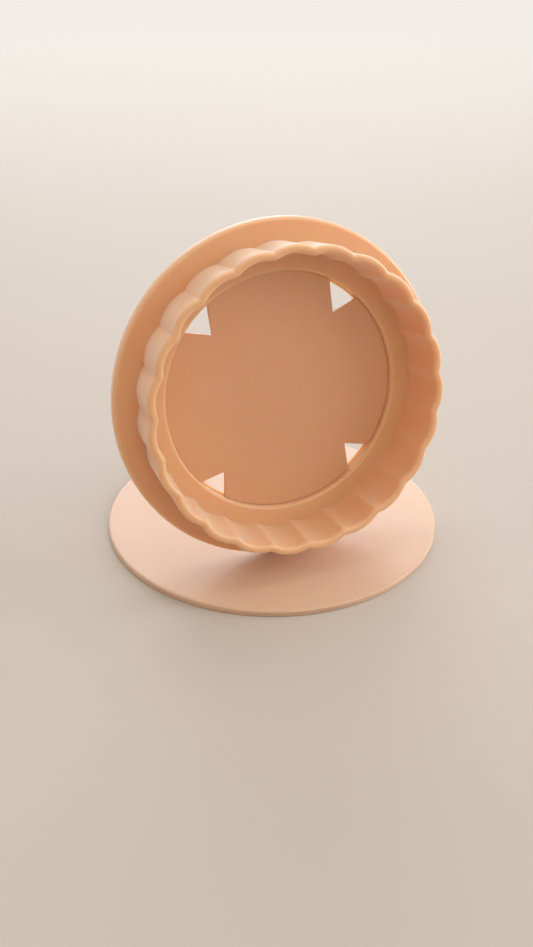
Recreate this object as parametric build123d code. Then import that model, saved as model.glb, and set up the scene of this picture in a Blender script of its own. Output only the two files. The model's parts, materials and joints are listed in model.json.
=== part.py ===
from build123d import *
import os
from math import cos, pi, radians, sin, sqrt, tan

os.makedirs("parts", exist_ok=True)

# Driving dimensions, in millimetres and degrees
BASE_RADIUS = 52.5
BASE_THICKNESS = 1.9
BASE_TOP_BEVEL = 0.5
BASE_BOTTOM_BEVEL = 0.3

FLANGE_RADIUS = 50.4
FLANGE_THICKNESS = 3.2
FLANGE_FRONT_BEVEL = 0.8
FLANGE_BACK_BEVEL = 0.4

# The fluted wall stands on the flange's front face and opens a little towards its lip
FLUTES = 23
WALL_HEIGHT = 15.5
LIP_ROUND = 1.05
LIP_STEPS = 3
OUTER_TIP_AT_ROOT = 44.0
OUTER_TIP_AT_LIP = 45.2
INNER_TIP_AT_ROOT = 41.4
INNER_TIP_AT_LIP = 42.8
OUTER_LOBE_RADIUS = 12.6
OUTER_VALLEY_RADIUS = 0.7
INNER_LOBE_RADIUS = 10.6
INNER_RIDGE_RADIUS = 1.6
CUSP_ANGLE = -8.1

# The ledge inside the wall, its round opening, and the shelf that the loose plate lies on
LEDGE_RISE = 0.6
LEDGE_BEVEL = 0.6
OPENING_RADIUS = 35.4
SHELF_RADIUS = 34.7
SHELF_THICKNESS = 0.7

PLATE_CLEARANCE = 0.25
PLATE_THICKNESS = 1.2
PLATE_BEVEL = 0.2

# The four notches are equal, but each is placed and turned a little differently
NOTCH_ANGLE = 71.5
NOTCH_APEX_RADII = (27.6, 27.7, 28.7, 28.3)
NOTCH_APEX_TURNS = (49.7, 134.8, 228.7, 315.0)
NOTCH_FACINGS = (57.8, 130.7, 230.4, 311.6)

# How the cutter stands on the base: on its flange's edge, leaning back, off the base's centre
LEAN_BACK = 10.0
STAND_X = -2.6
STAND_Y = -13.4
REST_GAP = 0.03


def fluted_wire(tip_radius, lobe_radius, cusp_radius, height):
    """Closed outline of outward lobes joined by small rounded cusps, every arc tangent to the next."""
    half_pitch = pi / FLUTES
    lobe_centre = tip_radius - lobe_radius
    reach = lobe_radius + cusp_radius
    cusp_centre = lobe_centre * cos(half_pitch) + sqrt(reach**2 - (lobe_centre * sin(half_pitch)) ** 2)
    join_x = lobe_centre + (cusp_centre * cos(half_pitch) - lobe_centre) * lobe_radius / reach
    join_y = cusp_centre * sin(half_pitch) * lobe_radius / reach
    first_cusp = radians(90 + CUSP_ANGLE)
    edges = []
    for number in range(FLUTES):
        turn = first_cusp + (2 * number + 1) * half_pitch

        def at(x, y, turn=turn):
            return (x * cos(turn) - y * sin(turn), x * sin(turn) + y * cos(turn), height)

        cusp_x = (cusp_centre - cusp_radius) * cos(half_pitch)
        cusp_y = (cusp_centre - cusp_radius) * sin(half_pitch)
        next_x = join_x * cos(2 * half_pitch) + join_y * sin(2 * half_pitch)
        next_y = join_x * sin(2 * half_pitch) - join_y * cos(2 * half_pitch)
        edges.append(ThreePointArc(at(join_x, -join_y), at(tip_radius, 0), at(join_x, join_y)))
        edges.append(ThreePointArc(at(join_x, join_y), at(cusp_x, cusp_y), at(next_x, next_y)))
    return Wire(edges)


def fluted_block(tip_at_root, tip_at_lip, lobe_radius, cusp_radius, low, lip_side):
    """Solid with straight flutes that open towards the lip, where its outline follows the lip's round.

    lip_side is 1 where the outline draws in at the lip, as outside the wall, and -1 where it spreads.
    """
    levels = [(low, 0)]
    for step in range(LIP_STEPS + 1):
        turn = step * pi / 2 / LIP_STEPS
        levels.append((WALL_HEIGHT - LIP_ROUND * (1 - sin(turn)), LIP_ROUND * (1 - cos(turn)) * lip_side))
    sections = []
    for height, inset in levels:
        tip = tip_at_root + (tip_at_lip - tip_at_root) * height / WALL_HEIGHT
        sections.append(fluted_wire(tip - inset, lobe_radius - inset, cusp_radius + inset, height))
    return Solid.make_loft(sections, ruled=True)


def disc(radius, low, high):
    """Flat round plate from height low to height high."""
    return Pos(0, 0, low) * Cylinder(radius, high - low, align=(Align.CENTER, Align.CENTER, Align.MIN))


def edges_at(shape, height, radius):
    """Round edges of the given radius at the given height."""
    at_height = [e for e in shape.edges().filter_by(GeomType.CIRCLE) if abs(e.center().Z - height) < 0.01]
    return [e for e in at_height if abs(e.radius - radius) < 0.01]


def make_base_disc():
    plate = disc(BASE_RADIUS, 0, BASE_THICKNESS)
    plate = chamfer(edges_at(plate, BASE_THICKNESS, BASE_RADIUS), BASE_TOP_BEVEL)
    return chamfer(edges_at(plate, 0, BASE_RADIUS), BASE_BOTTOM_BEVEL)


def make_cutter_ring():
    """Flange, fluted wall and ledge as one moulding, drawn with the flange's front face at height 0."""
    flange = disc(FLANGE_RADIUS, -FLANGE_THICKNESS, 0)
    flange = chamfer(edges_at(flange, 0, FLANGE_RADIUS), FLANGE_FRONT_BEVEL)
    flange = chamfer(edges_at(flange, -FLANGE_THICKNESS, FLANGE_RADIUS), FLANGE_BACK_BEVEL)
    outer = fluted_block(
        OUTER_TIP_AT_ROOT, OUTER_TIP_AT_LIP, OUTER_LOBE_RADIUS, OUTER_VALLEY_RADIUS, low=0, lip_side=1
    )
    inner = fluted_block(
        INNER_TIP_AT_ROOT, INNER_TIP_AT_LIP, INNER_LOBE_RADIUS, INNER_RIDGE_RADIUS, LEDGE_RISE, lip_side=-1
    )
    ring = flange + (outer - inner)
    ring -= disc(OPENING_RADIUS, SHELF_THICKNESS - FLANGE_THICKNESS, WALL_HEIGHT)
    ring -= disc(SHELF_RADIUS, -FLANGE_THICKNESS, WALL_HEIGHT)
    return chamfer(edges_at(ring, LEDGE_RISE, OPENING_RADIUS), LEDGE_BEVEL)


def make_push_plate():
    """Loose plate with V notches in its rim, drawn where it lies on the shelf."""
    back = SHELF_THICKNESS - FLANGE_THICKNESS + REST_GAP
    radius = OPENING_RADIUS - PLATE_CLEARANCE
    plate = disc(radius, back, back + PLATE_THICKNESS)
    plate = chamfer(edges_at(plate, back + PLATE_THICKNESS, radius), PLATE_BEVEL)
    depth = radius + 4 - min(NOTCH_APEX_RADII)
    half_width = depth * tan(radians(NOTCH_ANGLE / 2))
    corners = [(0, 0), (depth, half_width), (depth, -half_width)]
    notch = extrude(make_face(Polyline(*corners, close=True)), PLATE_THICKNESS + 2)
    for apex, turn, facing in zip(NOTCH_APEX_RADII, NOTCH_APEX_TURNS, NOTCH_FACINGS):
        at_apex = Rot(0, 0, turn) * Pos(apex, 0, back - 1)
        plate -= at_apex * Rot(0, 0, facing - turn) * notch
    return plate


def stand_height():
    """Height of the flange's front centre when its leaning edge just clears the base."""
    lean = radians(LEAN_BACK)
    drop = FLANGE_RADIUS * cos(lean) + (FLANGE_THICKNESS - FLANGE_BACK_BEVEL) * sin(lean)
    return BASE_THICKNESS + REST_GAP + drop


lean = radians(LEAN_BACK)
standing = Plane(
    origin=(STAND_X, STAND_Y, stand_height()),
    x_dir=(1, 0, 0),
    z_dir=(0, -cos(lean), sin(lean)),
)

pieces = {
    "base_disc": make_base_disc(),
    "cutter_ring": standing.location * make_cutter_ring(),
    "push_plate": standing.location * make_push_plate(),
}

for name, piece in pieces.items():
    export_step(piece, f"parts/{name}.step")
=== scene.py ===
"""A round fluted pastry cutter standing on its base disc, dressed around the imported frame.

The pieces are surfaces worked out with numpy in metres. The cutter is drawn in its own frame, with the
flange's front face at height 0 and the lip towards +Z, and is then stood up as the frame says.
"""

import json
import math

import bpy
import numpy as np
from bpy.props import FloatProperty, FloatVectorProperty, IntProperty, PointerProperty, StringProperty
from mathutils import Matrix, Vector


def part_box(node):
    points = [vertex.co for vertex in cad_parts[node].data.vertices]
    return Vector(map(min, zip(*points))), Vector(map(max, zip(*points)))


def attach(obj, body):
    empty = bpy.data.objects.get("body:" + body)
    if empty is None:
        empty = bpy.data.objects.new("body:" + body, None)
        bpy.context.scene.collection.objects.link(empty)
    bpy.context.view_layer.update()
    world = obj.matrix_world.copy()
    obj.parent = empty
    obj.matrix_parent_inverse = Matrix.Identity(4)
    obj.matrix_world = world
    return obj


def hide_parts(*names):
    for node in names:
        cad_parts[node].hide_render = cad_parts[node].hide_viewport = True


bl_info = {
    "name": "Fluted Pastry Cutter",
    "version": (1, 0, 0),
    "blender": (4, 5, 0),
    "location": "3D View > Sidebar > Pastry Cutter",
    "description": "Makes a fluted pastry cutter, its push-out plate, its base disc and a plain stage",
    "category": "Add Mesh",
}

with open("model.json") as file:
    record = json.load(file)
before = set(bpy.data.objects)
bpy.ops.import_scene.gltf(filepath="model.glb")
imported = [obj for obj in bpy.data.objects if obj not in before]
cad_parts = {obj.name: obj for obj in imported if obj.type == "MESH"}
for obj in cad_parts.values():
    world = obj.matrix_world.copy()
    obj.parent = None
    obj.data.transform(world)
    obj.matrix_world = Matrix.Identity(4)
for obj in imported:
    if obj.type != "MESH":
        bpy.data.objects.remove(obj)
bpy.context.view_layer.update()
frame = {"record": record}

BASE_LOW, BASE_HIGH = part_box("base_disc")
RING_LOW, RING_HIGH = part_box("cutter_ring")
FLANGE_BACK = next(mount for mount in frame["record"]["mounts"] if mount["name"] == "flange_back")
CUTTER_AXIS = -Vector(FLANGE_BACK["axis"])

MM = 0.001

# Steps round the base disc, along a lobe and a cusp, and along a notch's side and the rim between two
DISC_STEPS = 320
LOBE_STEPS = 30
CUSP_STEPS = 14
NOTCH_SIDE_STEPS = 8
RIM_STEPS = 24

# Rows on each straight face of the fluted wall
WALL_ROWS = 4

# Steps in each quarter round
BASE_BOTTOM_STEPS = 8
BASE_TOP_STEPS = 12
LIP_STEPS = 8
EDGE_STEPS = 7
FILLET_STEPS = 4
SHELF_STEPS = 3
PLATE_STEPS = 4

# Rings that fill a flat face, as shares of the way out. The base disc's stop a margin short of its round.
DISC_FILL = np.array([0.3, 0.65, 1.0])
DISC_MARGIN = 2 * MM
PLATE_FILL = np.array([0.3, 0.65, 0.95, 0.995])

# A face has a row this close to each round or corner beside it, so that the shading turns only there
CRISP = 0.06 * MM

# Shares of a notch's side and of the rim that keep a point close to each corner, for the same reason
NOTCH_GUARD = 0.02
RIM_GUARD = 0.004

# Each lamp's name, turn and height in degrees, width in metres and power in watts, as soft_lamp has them
WINDOWS = (
    ("right_window", 88, 22, 0.7, 4.2),
    ("far_right_window", 118, 16, 0.7, 3.6),
    ("back_window", 185, 18, 0.7, 5.2),
    ("top_light", 180, 75, 0.8, 4.1),
)
FILLS = (
    ("front_fill", 25, 50, 0.8, 2.5),
    ("left_fill", 278, 28, 0.8, 1.6),
)
LAMP_TARGET = Vector((0.0, -0.01, 0.045))


def length(name, description, millimetres):
    """A length that a user may change, given in millimetres and kept in metres."""
    return FloatProperty(
        name=name,
        description=description,
        default=millimetres * MM,
        unit="LENGTH",
        subtype="DISTANCE",
    )


def angle(name, description, degrees):
    """An angle that a user may change, given in degrees and kept in radians."""
    return FloatProperty(
        name=name,
        description=description,
        default=math.radians(degrees),
        subtype="ANGLE",
    )


def share(name, description, value):
    """A share from 0 to 1 that a user may change."""
    return FloatProperty(
        name=name,
        description=description,
        default=value,
        min=0.0,
        max=1.0,
        subtype="FACTOR",
    )


def four_lengths(name, description, millimetres):
    """A length for each of the four notches, given in millimetres and kept in metres."""
    return FloatVectorProperty(
        name=name,
        description=description,
        default=[value * MM for value in millimetres],
        size=4,
        unit="LENGTH",
    )


def four_angles(name, description, degrees):
    """An angle for each of the four notches, given in degrees and kept in radians."""
    return FloatVectorProperty(
        name=name,
        description=description,
        default=[math.radians(value) for value in degrees],
        size=4,
        unit="ROTATION",
    )


def hex_colour(name, description, value):
    """A colour that a user may change, as an sRGB hex value."""
    return StringProperty(name=name, description=description, default=value)


class BaseSizes(bpy.types.PropertyGroup):
    """Sizes of the base disc beyond those that the frame gives."""

    top_round: length("Top round", "Radius of the disc's upper edge", 0.6)
    bottom_round: length("Bottom round", "Radius of the disc's lower edge", 0.4)


class RingSizes(bpy.types.PropertyGroup):
    """Sizes of the cutter ring: flange, fluted wall, lip and ledge."""

    flutes: IntProperty(name="Flutes", description="Number of flutes round the wall", default=23)
    first_cusp: angle("First cusp", "Turn of the first cusp from the cutter's right", 81.9)
    flange_thickness: length("Flange thickness", "Thickness of the wide flange", 3.2)
    front_round: length("Front round", "Radius of the flange's front edge", 1.1)
    back_round: length("Back round", "Radius of the flange's back edge", 0.45)
    wall_height: length("Wall height", "Height of the lip above the flange", 15.5)
    outer_tip_at_root: length("Outer tip at root", "Radius to the outer flute tips at the flange", 44.0)
    outer_tip_at_lip: length("Outer tip at lip", "Radius to the outer flute tips at the lip", 45.2)
    inner_tip_at_root: length("Inner tip at root", "Radius to the inner flute tips at the flange", 41.4)
    inner_tip_at_lip: length("Inner tip at lip", "Radius to the inner flute tips at the lip", 42.8)
    outer_lobe: length("Outer lobe", "Radius of each lobe outside", 12.6)
    outer_valley: length("Outer valley", "Radius of each valley outside", 0.7)
    inner_lobe: length("Inner lobe", "Radius of each lobe inside", 10.6)
    inner_ridge: length("Inner ridge", "Radius of each ridge inside", 2.8)
    lip_round: length("Lip round", "Radius of the lip's edges", 1.05)
    root_fillet: length("Root fillet", "Radius in the corner at the foot of the wall", 0.25)
    ledge_rise: length("Ledge rise", "Height of the ledge inside the wall above the flange", 0.6)
    ledge_round: length("Ledge round", "Radius of the ledge's edge at the opening", 0.9)
    opening: length("Opening", "Radius of the opening that the plate lies in", 35.4)
    shelf: length("Shelf", "Radius inside the shelf that carries the plate", 34.7)
    shelf_thickness: length("Shelf thickness", "Thickness of the shelf", 0.7)
    shelf_round: length("Shelf round", "Radius of the shelf's edges", 0.15)


class PlateSizes(bpy.types.PropertyGroup):
    """Sizes of the loose push-out plate."""

    thickness: length("Thickness", "Thickness of the plate", 1.2)
    clearance: length("Clearance", "Gap between the plate and its opening", 0.08)
    rest_gap: length("Rest gap", "Gap between the plate and its shelf", 0.03)
    edge_round: length("Edge round", "Radius of the plate's edges", 0.2)
    notch_angle: angle("Notch angle", "Opening angle of each notch", 71.5)
    apex_radii: four_lengths(
        "Apex radii", "Radius to the point of each notch", (27.6, 27.7, 28.7, 28.3)
    )
    apex_turns: four_angles(
        "Apex turns", "Turn of each notch's point from the cutter's right", (49.7, 134.8, 228.7, 315.0)
    )
    facings: four_angles(
        "Facings", "Direction in which each notch opens", (57.8, 130.7, 230.4, 311.6)
    )


class Finish(bpy.types.PropertyGroup):
    """Colours and grain of the moulded plastic. The base disc's and the plate's colours hold painted
    light and shade.
    """

    # One plastic in three peaches. The base disc's paler one is painted light: the pale look of its lit
    # top.
    base_colour_paled_for_light: hex_colour("Base colour", "Colour of the base disc's plastic", "#DAB08B")
    ring_colour: hex_colour("Ring colour", "Colour of the cutter ring's plastic", "#E3B27B")
    # The plate's deeper peach is painted shade: the saturated shade of the well it lies in.
    plate_colour_deepened_for_shade: hex_colour("Plate colour", "Colour of the push-out plate's plastic", "#E4A770")
    paleness: share("Paleness", "How much paler the faint patches are", 0.05)
    patch: length("Patch", "Width of the faint colour patches", 14.0)
    grain: length("Grain", "Width of the moulded surface grain as it is drawn", 0.5)
    ring_depth: length("Ring depth", "How far light travels in the cutter ring's plastic", 3.6)
    flat_depth: length("Flat depth", "How far light travels in the two discs' plastic", 0.4)


class Stage(bpy.types.PropertyGroup):
    """Floor, light and camera."""

    floor: hex_colour("Floor", "Colour of the floor", "#C4B9AE")
    floor_reach: length("Floor reach", "Distance from the floor's middle to its sides", 3000.0)
    paleness: share("Paleness", "How much paler the floor's faint patches are", 0.05)
    unevenness: length("Unevenness", "Width of the faint patches in the floor's paint", 110.0)
    backdrop: hex_colour("Backdrop", "Colour of the backdrop that the floor fades into", "#F2EDE6")
    fade_start: length("Fade start", "How far from the object the floor starts to fade", 250.0)
    fade_end: length("Fade end", "How far from the object only the backdrop shows", 1000.0)
    window_light: hex_colour("Window light", "Colour of the lamps that stand for windows", "#F4F8FF")
    fill_light: hex_colour("Fill light", "Colour of the lamps that fill the front and left", "#FFF3E2")
    room_light: FloatProperty(
        name="Room light",
        description="Strength of the even light from all round",
        default=0.27,
    )
    lamp_distance: length("Lamp distance", "How far the lamps stand from the object", 1600.0)
    camera_place: FloatVectorProperty(
        name="Camera place",
        description="Where the camera stands",
        default=(-0.1190, -0.2888, 0.2000),
        unit="LENGTH",
        subtype="TRANSLATION",
    )
    camera_heading: angle("Camera heading", "Turn of the view from +Y towards +X", 22.07)
    camera_pitch: angle("Camera pitch", "How far the camera looks down", 30.41)
    camera_roll: angle("Camera roll", "How far the camera is tipped to its left", 0.3)
    focal_pixels: FloatProperty(
        name="Focal length",
        description="Focal length in pixels of the photograph's frame",
        default=1140.68,
    )
    frame_height: IntProperty(
        name="Frame height",
        description="Height of the photograph's frame in pixels",
        default=947,
    )


class CutterSettings(bpy.types.PropertyGroup):
    """Everything that a user would change."""

    base: PointerProperty(type=BaseSizes)
    ring: PointerProperty(type=RingSizes)
    plate: PointerProperty(type=PlateSizes)
    finish: PointerProperty(type=Finish)
    stage: PointerProperty(type=Stage)


def guarded_shares(steps, guard):
    """Even shares from 0 to 1, with one more at the guard's distance from each end."""
    return np.unique(np.concatenate([np.linspace(0, 1, steps + 1), [guard, 1 - guard]]))


def quarter(steps):
    """Even turns from 0 to a quarter of a circle."""
    return np.linspace(0, np.pi / 2, steps + 1)


def unit(turns):
    """Directions in the plane at the given turns: their cosines and sines."""
    return np.stack([np.cos(turns), np.sin(turns)], axis=-1)


def fluted_loops(flutes, first_cusp, tip, lobe, cusp):
    """Closed fluted outlines, one row for each entry of tip, lobe and cusp, as rows by columns by 2.

    A lobe is an arc of radius lobe whose top touches the tip circle. A cusp is an arc of radius cusp
    tangent to the lobes beside it: its centre lies half a pitch away, at lobe + cusp from theirs. A
    column is the same share of the same arc in every row, so outlines with inset radii are parallel.
    """
    radii = np.broadcast_arrays(tip, lobe, cusp)
    tip, lobe, cusp = (np.asarray(value, float)[:, None, None] for value in radii)
    half_pitch = np.pi / flutes
    lobe_centre = tip - lobe
    across = lobe_centre * np.sin(half_pitch)
    cusp_centre = lobe_centre * np.cos(half_pitch) + np.sqrt((lobe + cusp) ** 2 - across**2)
    lobe_span = np.arctan2(
        cusp_centre * np.sin(half_pitch), cusp_centre * np.cos(half_pitch) - lobe_centre
    )
    cusp_span = lobe_span - half_pitch

    lobe_turn = np.linspace(-1, 1, LOBE_STEPS + 1)[:-1] * lobe_span
    cusp_turn = np.linspace(1, -1, CUSP_STEPS + 1)[:-1] * cusp_span
    turns = first_cusp + (2 * np.arange(flutes)[None, :, None] + 1) * half_pitch

    def placed(x, y, turn):
        turned_x = x * np.cos(turn) - y * np.sin(turn)
        turned_y = x * np.sin(turn) + y * np.cos(turn)
        return np.stack([turned_x, turned_y], axis=-1)

    lobes = placed(lobe_centre + lobe * np.cos(lobe_turn), lobe * np.sin(lobe_turn), turns)
    cusps = placed(
        cusp_centre - cusp * np.cos(cusp_turn), -cusp * np.sin(cusp_turn), turns + half_pitch
    )
    both = np.concatenate([lobes, cusps], axis=2)
    return both.reshape(both.shape[0], -1, 2)


def circles(radii, turns):
    """Circles of the given radii, with a column at each turn, as rows by columns by 2."""
    return np.asarray(radii, float)[:, None, None] * unit(turns)


def at_heights(loops, heights):
    """Outlines in the plane raised to their heights, as rows by columns by 3."""
    lift = np.broadcast_to(np.asarray(heights, float)[:, None, None], (*loops.shape[:2], 1))
    return np.concatenate([loops, lift], axis=-1)


def stood_up(points, ring):
    """Points of the cutter's own frame moved to where the cutter stands on its base.

    The flange's back mount gives the plane and height of the flange, and the ring's box its middle.
    """
    axis = np.array(CUTTER_AXIS)
    across = np.array([1.0, 0.0, 0.0])
    up = np.cross(axis, across)
    centre = np.array(FLANGE_BACK["pos_m"]) + axis * ring.flange_thickness
    centre[0] = (RING_LOW.x + RING_HIGH.x) / 2
    return centre + points[..., 0:1] * across + points[..., 1:2] * up + points[..., 2:3] * axis


def surface(name, points, closed_rows):
    """Mesh object over a grid of points whose columns close on themselves.

    The rows also close where closed_rows is true, and otherwise each end row is filled with a fan to
    its middle. Rows run so that the faces look outwards.
    """
    rows, columns = points.shape[:2]
    index = np.arange(rows * columns).reshape(rows, columns)
    lower = index if closed_rows else index[:-1]
    upper = np.roll(index, -1, axis=0) if closed_rows else index[1:]
    quads = np.stack(
        [lower, np.roll(lower, -1, axis=1), np.roll(upper, -1, axis=1), upper], axis=-1
    ).reshape(-1, 4)
    vertices = points.reshape(-1, 3)
    faces = quads.tolist()
    if not closed_rows:
        middles = points[[0, -1]].mean(axis=1)
        vertices = np.concatenate([vertices, middles])
        first, last = index[0], index[-1]
        fan = np.full(columns, rows * columns)
        faces += np.stack([fan, np.roll(first, -1), first], axis=-1).tolist()
        faces += np.stack([fan + 1, last, np.roll(last, -1)], axis=-1).tolist()
    mesh = bpy.data.meshes.new(name)
    mesh.from_pydata(vertices.tolist(), [], faces)
    mesh.polygons.foreach_set("use_smooth", np.ones(len(mesh.polygons), bool))
    mesh.update()
    piece = bpy.data.objects.new(name, mesh)
    bpy.context.scene.collection.objects.link(piece)
    return piece


def base_points(sizes):
    """The base disc as a profile turned about Z: its lower edge, side and upper edge.

    Each edge is a quarter round, and its radius and height follow the sine and cosine of a turn.
    """
    radius = (BASE_HIGH.x - BASE_LOW.x) / 2
    top = BASE_HIGH.z
    bottom_turn, top_turn = quarter(BASE_BOTTOM_STEPS), quarter(BASE_TOP_STEPS)
    inner = radius - sizes.top_round - DISC_MARGIN
    low = sizes.bottom_round
    high = sizes.top_round
    radii = np.concatenate([
        DISC_FILL * inner,
        radius - low + low * np.sin(bottom_turn),
        radius - high + high * np.cos(top_turn),
        DISC_FILL[::-1] * inner,
    ])
    heights = np.concatenate([
        np.zeros_like(DISC_FILL),
        low - low * np.cos(bottom_turn),
        top - high + high * np.sin(top_turn),
        np.full_like(DISC_FILL, top),
    ])
    turns = np.linspace(0, 2 * np.pi, DISC_STEPS + 1)[:-1]
    return at_heights(circles(radii, turns), heights + BASE_LOW.z)


def fluted_face(sizes, tips, lobe, cusp, heights, insets):
    """Rows of one face of the fluted wall: its outline at each height, set in by each inset.

    The tips lie on a cone, so their radius goes evenly with the height from the root's to the lip's.
    """
    at_root, at_lip = tips
    tip = at_root + (at_lip - at_root) * (heights / sizes.wall_height)
    radii = (tip - insets, lobe - insets, cusp + insets)
    return at_heights(fluted_loops(sizes.flutes, sizes.first_cusp, *radii), heights)


def fluted_wall(sizes):
    """Rows up the wall's outside and over its lip, and rows from the lip down its inside to the ledge.

    A point's depth in the plastic sets the outside's outline in and spreads the inside's, so that the
    rounds stay true in every flute and valley. The lip is two quarter rounds into the plastic. The
    fillets at the foot are quarter rounds out of it, where the depth is negative.
    """

    def outer(heights, depths):
        tips = (sizes.outer_tip_at_root, sizes.outer_tip_at_lip)
        return fluted_face(sizes, tips, sizes.outer_lobe, sizes.outer_valley, heights, depths)

    def inner(heights, depths):
        tips = (sizes.inner_tip_at_root, sizes.inner_tip_at_lip)
        return fluted_face(sizes, tips, sizes.inner_lobe, sizes.inner_ridge, heights, -depths)

    lip_turn, root_turn = quarter(LIP_STEPS), quarter(FILLET_STEPS)
    fillet = sizes.root_fillet
    lip = sizes.lip_round
    shoulder = sizes.wall_height - lip
    outer_rows = np.linspace(fillet, shoulder, WALL_ROWS + 2)[1:-1]
    outside = np.concatenate([
        outer(np.zeros(1), np.array([-fillet - CRISP])),
        outer(fillet * (1 - np.cos(root_turn)), -fillet * (1 - np.sin(root_turn))),
        outer(outer_rows, np.zeros_like(outer_rows)),
        outer(shoulder + lip * np.sin(lip_turn), lip * (1 - np.cos(lip_turn))),
    ])
    ledge_foot = sizes.ledge_rise + fillet
    inner_rows = np.linspace(shoulder, ledge_foot, WALL_ROWS + 2)[1:-1]
    inside = np.concatenate([
        inner(shoulder + lip * np.cos(lip_turn), lip * (1 - np.sin(lip_turn))),
        inner(inner_rows, np.zeros_like(inner_rows)),
        inner(ledge_foot - fillet * np.sin(root_turn), -fillet * (1 - np.cos(root_turn))),
        inner(np.array([sizes.ledge_rise]), np.array([-fillet - CRISP])),
    ])
    return outside, inside


def profile_round(radius, height, out, up):
    """Profile points round a centre's radius and height, each at its own distance out and up from it."""
    return np.stack([radius + out, height + up], axis=1)


def flange_profile(sizes):
    """Radius and height of the flange's back, edge and front, from the shelf to the wall's foot.

    Its edge is two quarter rounds, whose distances out and up are sines and cosines of one turn.
    """
    back = -sizes.flange_thickness
    rim = (RING_HIGH.x - RING_LOW.x) / 2
    front, rear = sizes.front_round, sizes.back_round
    turn = quarter(EDGE_STEPS)
    across, along = np.sin(turn), np.cos(turn)
    return np.array([
        [sizes.shelf + sizes.shelf_round + CRISP, back],
        [rim - rear - CRISP, back],
        *profile_round(rim - rear, back + rear, rear * across, -rear * along),
        *profile_round(rim - front, -front, front * along, front * across),
        [rim - front - CRISP, 0],
    ])


def opening_profile(sizes):
    """Radius and height from the ledge over its round edge, down the opening and over the shelf.

    Each round is a quarter, whose distances out and up are sines and cosines of one turn.
    """
    back = -sizes.flange_thickness
    shelf_top = back + sizes.shelf_thickness
    bend = sizes.ledge_round
    small = sizes.shelf_round
    turn, small_turn = quarter(EDGE_STEPS), quarter(SHELF_STEPS)
    across, along = np.sin(turn), np.cos(turn)
    small_across, small_along = small * np.sin(small_turn), small * np.cos(small_turn)
    return np.array([
        [sizes.opening + bend + CRISP, sizes.ledge_rise],
        *profile_round(sizes.opening + bend, sizes.ledge_rise - bend, -bend * across, bend * along),
        [sizes.opening, shelf_top + CRISP],
        [sizes.opening, shelf_top],
        [sizes.opening - CRISP, shelf_top],
        [sizes.shelf + small + CRISP, shelf_top],
        *profile_round(sizes.shelf + small, shelf_top - small, -small_across, small_along),
        *profile_round(sizes.shelf + small, back + small, -small_along, -small_across),
    ])


def ring_points(sizes):
    """The cutter ring as one closed profile carried round the axis.

    The profile runs out over the flange's back, round its edge, in over its front, up the fluted wall,
    over the lip, down inside to the ledge and down the opening to the shelf. The round rows have their
    columns at the turns of the fluted rows beside them.
    """
    outside, inside = fluted_wall(sizes)
    outer_turns = np.unwrap(np.arctan2(outside[0, :, 1], outside[0, :, 0]))
    inner_turns = np.unwrap(np.arctan2(inside[-1, :, 1], inside[-1, :, 0]))
    flange, opening = flange_profile(sizes), opening_profile(sizes)
    return np.concatenate([
        at_heights(circles(flange[:, 0], outer_turns), flange[:, 1]),
        outside,
        inside,
        at_heights(circles(opening[:, 0], inner_turns), opening[:, 1]),
    ])


def notched_loop(radius, inset, sizes):
    """Closed outline of the notched plate, set in by inset, anticlockwise.

    Set in by e, the rim's radius falls by e, and the point of a notch whose sides open by 2a moves back
    by e / sin(a) against the way it faces. For each notch the outline runs in along one side, out along
    the other, and on round the rim. A side ends where its line p + t d meets the rim's circle, which is
    where t = sqrt((p.d)^2 - p.p + r^2) - p.d.
    """
    half = sizes.notch_angle / 2
    rim = radius - inset
    turns, facings = np.array(sizes.apex_turns), np.array(sizes.facings)
    apex = np.array(sizes.apex_radii)[:, None] * unit(turns) - inset / math.sin(half) * unit(facings)

    def corner(side_turn):
        along = unit(side_turn)
        across = (apex * along).sum(axis=-1)
        reach = np.sqrt(across**2 - (apex**2).sum(axis=-1) + rim**2) - across
        return apex + reach[:, None] * along

    first, second = corner(facings - half), corner(facings + half)
    side = guarded_shares(NOTCH_SIDE_STEPS, NOTCH_GUARD)[None, :-1, None]
    going_in = first[:, None] + side * (apex - first)[:, None]
    coming_out = apex[:, None] + side * (second - apex)[:, None]
    leave = np.arctan2(second[:, 1], second[:, 0])
    arrive = np.roll(np.arctan2(first[:, 1], first[:, 0]), -1)
    span = ((arrive - leave) % (2 * np.pi))[:, None]
    rim_turns = leave[:, None] + guarded_shares(RIM_STEPS, RIM_GUARD)[:-1] * span
    return np.concatenate([going_in, coming_out, rim * unit(rim_turns)], axis=1).reshape(-1, 2)


def plate_points(sizes, ring):
    """The push-out plate: its notched outline, carried up its edge with a quarter round at each end.

    An outline's inset and height follow the sine and cosine of a turn, as in a quarter round.
    """
    radius = ring.opening - sizes.clearance
    bend = sizes.edge_round
    low = ring.shelf_thickness - ring.flange_thickness + sizes.rest_gap
    high = low + sizes.thickness
    turn = quarter(PLATE_STEPS)
    insets = np.concatenate([bend * (1 - np.sin(turn)), bend * (1 - np.cos(turn))])
    heights = np.concatenate([low + bend - bend * np.cos(turn), high - bend + bend * np.sin(turn)])
    outlines = np.stack([notched_loop(radius, inset, sizes) for inset in insets.tolist()])
    edge = at_heights(outlines, heights)
    fill = PLATE_FILL[:, None, None]
    bottom = at_heights(edge[0, :, :2] * fill, np.full_like(PLATE_FILL, low))
    top = at_heights(edge[-1, :, :2] * fill[::-1], np.full_like(PLATE_FILL, high))
    return np.concatenate([bottom, edge, top])


def linear_rgba(value):
    """Linear RGBA of an sRGB hex colour such as #E3B27B."""
    channels = np.array([int(value[start : start + 2], 16) for start in (1, 3, 5)]) / 255
    linear = np.where(channels <= 0.04045, channels / 12.92, ((channels + 0.055) / 1.055) ** 2.4)
    return (*linear.tolist(), 1.0)


def paler(rgba, share_of_way):
    """A linear colour moved towards white by a share of the way."""
    return tuple(value + (1 - value) * share_of_way for value in rgba)


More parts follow.
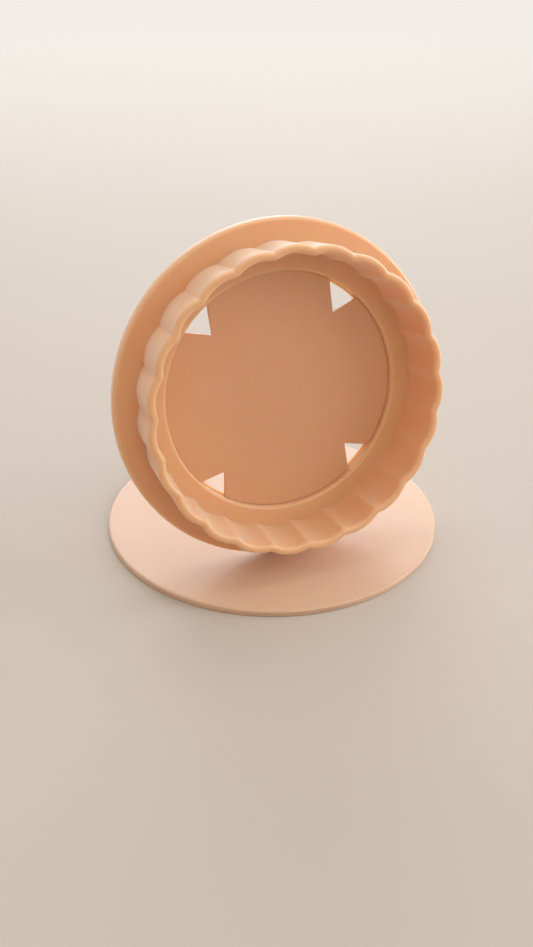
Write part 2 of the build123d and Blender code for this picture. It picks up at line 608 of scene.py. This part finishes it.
def add_node(tree, kind, settings=None, **links):
    """Adds a node with its settings, and sets or links its inputs.

    An input is given by its name, with _ for a space, or by its number after a _, because some inputs
    of one node share a name. A Mix node's colours are its inputs 6 and 7 and its output 2.
    """
    node = tree.nodes.new(kind)
    for key, value in (settings or {}).items():
        setattr(node, key, value)
    for key, value in links.items():
        socket = node.inputs[int(key[1:])] if key[1:].isdigit() else node.inputs[key.replace("_", " ")]
        if isinstance(value, bpy.types.NodeSocket):
            tree.links.new(value, socket)
        else:
            socket.default_value = value
    return node


def moulded_plastic(name, finish, colour, depth):
    """Injection-moulded polypropylene in peach, with the matt grain of an eroded mould.

    It gives the eye a soft satin sheen, a warm glow where light passes through the thin wall, and faint
    paler patches where the melt flowed. The grain of such a mould is usually finer than 0.1 mm, which
    is too fine to show, so it is drawn a little coarser than the render's pixels.
    """
    material = bpy.data.materials.new(name)
    material.use_nodes = True
    tree = material.node_tree
    tree.nodes.clear()
    place = add_node(tree, "ShaderNodeTexCoord").outputs["Object"]
    patches = add_node(
        tree, "ShaderNodeTexNoise", Vector=place, Scale=1 / finish.patch, Detail=3.0, Roughness=0.5
    )
    body = add_node(
        tree,
        "ShaderNodeMix",
        {"data_type": "RGBA"},
        Factor=patches.outputs["Fac"],
        _6=linear_rgba(colour),
        _7=paler(linear_rgba(colour), finish.paleness),
    )
    grain = add_node(
        tree, "ShaderNodeTexNoise", Vector=place, Scale=1 / finish.grain, Detail=2.0, Roughness=0.6
    )
    satin = add_node(
        tree,
        "ShaderNodeMapRange",
        Value=grain.outputs["Fac"],
        To_Min=0.45,
        To_Max=0.55,
    )
    relief = add_node(
        tree,
        "ShaderNodeBump",
        Strength=0.25,
        Distance=0.02 * MM,
        Height=grain.outputs["Fac"],
    )
    shader = add_node(
        tree,
        "ShaderNodeBsdfPrincipled",
        Base_Color=body.outputs[2],
        Roughness=satin.outputs["Result"],
        Normal=relief.outputs["Normal"],
        IOR=1.49,
        Specular_IOR_Level=1.0,
        Subsurface_Weight=1.0,
        Subsurface_Radius=(1.0, 0.5, 0.15),
        Subsurface_Scale=depth,
        Sheen_Weight=0.65,
        Sheen_Roughness=0.5,
    )
    add_node(tree, "ShaderNodeOutputMaterial", Surface=shader.outputs["BSDF"])
    return material


def dressed(piece, node, body, material):
    """Gives a piece its material and body, and puts it in the CAD node's place."""
    piece.data.materials.append(material)
    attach(piece, body)
    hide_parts(node)


def backdrop_rays(tree):
    """Factor that is 1 for rays that should see the backdrop: the camera's, in gloss and through gaps."""
    rays = add_node(tree, "ShaderNodeLightPath").outputs
    seen = rays["Is Camera Ray"]
    for kind in ("Is Glossy Ray", "Is Transmission Ray"):
        either = add_node(tree, "ShaderNodeMath", {"operation": "MAXIMUM"}, _0=seen, _1=rays[kind])
        seen = either.outputs["Value"]
    return seen


def painted_board(stage):
    """Matt painted board: pale, with faint patches where the paint lies a little thicker.

    Away from the object it fades into the backdrop, so that no horizon shows. The fade lights nothing.
    """
    material = bpy.data.materials.new("painted_board")
    material.use_nodes = True
    tree = material.node_tree
    tree.nodes.clear()
    place = add_node(tree, "ShaderNodeTexCoord").outputs["Object"]
    patches = add_node(tree, "ShaderNodeTexNoise", Vector=place, Scale=1 / stage.unevenness, Detail=2.0)
    colour = linear_rgba(stage.floor)
    shade = add_node(
        tree,
        "ShaderNodeMix",
        {"data_type": "RGBA"},
        Factor=patches.outputs["Fac"],
        _6=colour,
        _7=paler(colour, stage.paleness),
    )
    board = add_node(tree, "ShaderNodeBsdfPrincipled", Base_Color=shade.outputs[2], Roughness=0.7)
    backdrop = add_node(tree, "ShaderNodeEmission", Color=linear_rgba(stage.backdrop), Strength=1.0)
    distance = add_node(tree, "ShaderNodeVectorMath", {"operation": "LENGTH"}, _0=place)
    fade = add_node(
        tree,
        "ShaderNodeMapRange",
        {"interpolation_type": "SMOOTHSTEP"},
        Value=distance.outputs["Value"],
        From_Min=stage.fade_start,
        From_Max=stage.fade_end,
    )
    faded = add_node(
        tree,
        "ShaderNodeMath",
        {"operation": "MULTIPLY"},
        _0=fade.outputs["Result"],
        _1=backdrop_rays(tree),
    )
    mixed = add_node(
        tree,
        "ShaderNodeMixShader",
        _0=faded.outputs["Value"],
        _1=board.outputs["BSDF"],
        _2=backdrop.outputs["Emission"],
    )
    add_node(tree, "ShaderNodeOutputMaterial", Surface=mixed.outputs["Shader"])
    return material


def plain_floor(stage):
    """Square floor whose middle is at the origin."""
    corners = np.array([[-1, -1, 0], [1, -1, 0], [1, 1, 0], [-1, 1, 0]]) * stage.floor_reach
    mesh = bpy.data.meshes.new("floor")
    mesh.from_pydata(corners.tolist(), [], [(0, 1, 2, 3)])
    mesh.materials.append(painted_board(stage))
    floor = bpy.data.objects.new("floor", mesh)
    bpy.context.scene.collection.objects.link(floor)


def soft_room(stage):
    """World of a dim, even room with the pale backdrop in front of it."""
    world = bpy.data.worlds.new("soft_room")
    world.use_nodes = True
    tree = world.node_tree
    tree.nodes.clear()
    room = add_node(
        tree,
        "ShaderNodeBackground",
        Color=linear_rgba(stage.fill_light),
        Strength=stage.room_light,
    )
    backdrop = add_node(tree, "ShaderNodeBackground", Color=linear_rgba(stage.backdrop), Strength=1.0)
    chosen = add_node(
        tree,
        "ShaderNodeMixShader",
        _0=backdrop_rays(tree),
        _1=room.outputs["Background"],
        _2=backdrop.outputs["Background"],
    )
    add_node(tree, "ShaderNodeOutputWorld", Surface=chosen.outputs["Shader"])
    return world


def soft_lamp(name, stage, turn, height, width, power, colour):
    """A square area lamp of one colour that faces the cutter.

    turn is counted in degrees from the camera's side towards the camera's right, and height from the
    table. The width in metres and the power in watts are those that it would have a metre away.
    """
    turn, height = math.radians(turn), math.radians(height)
    level = math.cos(height)
    away = Vector((math.sin(turn) * level, -math.cos(turn) * level, math.sin(height)))
    away.rotate(Matrix.Rotation(-stage.camera_heading, 3, "Z"))
    lamp = bpy.data.lights.new(name, "AREA")
    lamp.shape = "SQUARE"
    lamp.color = linear_rgba(colour)[:3]
    lamp.size = width * stage.lamp_distance
    lamp.energy = power * stage.lamp_distance**2
    holder = bpy.data.objects.new(name, lamp)
    holder.location = LAMP_TARGET + away * stage.lamp_distance
    holder.rotation_euler = (-away).to_track_quat("-Z", "Y").to_euler()
    bpy.context.scene.collection.objects.link(holder)


def photograph_camera(stage):
    """Camera at the photograph's angle, with a lens worked out from its focal length in pixels."""
    camera = bpy.data.cameras.new("camera")
    camera.lens = camera.sensor_width * stage.focal_pixels / stage.frame_height
    holder = bpy.data.objects.new("camera", camera)
    turn = (
        Matrix.Rotation(-stage.camera_heading, 4, "Z")
        @ Matrix.Rotation(math.pi / 2 - stage.camera_pitch, 4, "X")
        @ Matrix.Rotation(stage.camera_roll, 4, "Z")
    )
    holder.matrix_world = Matrix.Translation(stage.camera_place) @ turn
    bpy.context.scene.collection.objects.link(holder)
    return holder


class PASTRY_OT_base_disc(bpy.types.Operator):
    """Make the flat round base disc with its rounded edges"""

    bl_idname = "pastry.base_disc"
    bl_label = "Base disc"

    def execute(self, context):
        settings = context.scene.pastry_cutter
        finish = settings.finish
        piece = surface("moulded_base_disc", base_points(settings.base), closed_rows=False)
        # The base disc's paler peach is painted light on its lit top
        material = moulded_plastic(
            "moulded_polypropylene_base", finish, finish.base_colour_paled_for_light, finish.flat_depth
        )
        dressed(piece, "base_disc", "base", material)
        return {"FINISHED"}


class PASTRY_OT_cutter_ring(bpy.types.Operator):
    """Make the flange, fluted wall, lip and ledge as one moulding"""

    bl_idname = "pastry.cutter_ring"
    bl_label = "Cutter ring"

    def execute(self, context):
        settings = context.scene.pastry_cutter
        finish = settings.finish
        points = stood_up(ring_points(settings.ring), settings.ring)
        piece = surface("moulded_cutter_ring", points, closed_rows=True)
        material = moulded_plastic(
            "moulded_polypropylene_ring", finish, finish.ring_colour, finish.ring_depth
        )
        dressed(piece, "cutter_ring", "cutter", material)
        return {"FINISHED"}


class PASTRY_OT_push_plate(bpy.types.Operator):
    """Make the loose plate with four V notches that pushes the pastry out"""

    bl_idname = "pastry.push_plate"
    bl_label = "Push-out plate"

    def execute(self, context):
        settings = context.scene.pastry_cutter
        finish = settings.finish
        points = stood_up(plate_points(settings.plate, settings.ring), settings.ring)
        piece = surface("moulded_push_plate", points, closed_rows=False)
        # The plate's deeper peach is painted shade in the well it lies in
        material = moulded_plastic(
            "moulded_polypropylene_plate", finish, finish.plate_colour_deepened_for_shade, finish.flat_depth
        )
        dressed(piece, "push_plate", "plate", material)
        return {"FINISHED"}


class PASTRY_OT_stage(bpy.types.Operator):
    """Make the plain floor, the soft light and the camera"""

    bl_idname = "pastry.stage"
    bl_label = "Stage"

    def execute(self, context):
        scene = context.scene
        stage = scene.pastry_cutter.stage
        plain_floor(stage)
        scene.world = soft_room(stage)
        for name, *place_and_power in WINDOWS:
            soft_lamp(name, stage, *place_and_power, stage.window_light)
        for name, *place_and_power in FILLS:
            soft_lamp(name, stage, *place_and_power, stage.fill_light)
        scene.camera = photograph_camera(stage)
        scene.view_settings.view_transform = "Standard"
        return {"FINISHED"}


OPERATORS = (PASTRY_OT_base_disc, PASTRY_OT_cutter_ring, PASTRY_OT_push_plate, PASTRY_OT_stage)


class PASTRY_PT_tools(bpy.types.Panel):
    """Lists the pieces in the 3D view's sidebar"""

    bl_idname = "PASTRY_PT_tools"
    bl_label = "Pastry Cutter"
    bl_space_type = "VIEW_3D"
    bl_region_type = "UI"
    bl_category = "Pastry Cutter"

    def draw(self, context):
        for operator in OPERATORS:
            self.layout.operator(operator.bl_idname)


CLASSES = (
    BaseSizes,
    RingSizes,
    PlateSizes,
    Finish,
    Stage,
    CutterSettings,
    *OPERATORS,
    PASTRY_PT_tools,
)


def register():
    for cls in CLASSES:
        bpy.utils.register_class(cls)
    bpy.types.Scene.pastry_cutter = PointerProperty(type=CutterSettings)


def unregister():
    del bpy.types.Scene.pastry_cutter
    for cls in reversed(CLASSES):
        bpy.utils.unregister_class(cls)


def main():
    register()
    bpy.ops.pastry.base_disc()
    bpy.ops.pastry.cutter_ring()
    bpy.ops.pastry.push_plate()
    bpy.ops.pastry.stage()


if __name__ == "__main__":
    main()
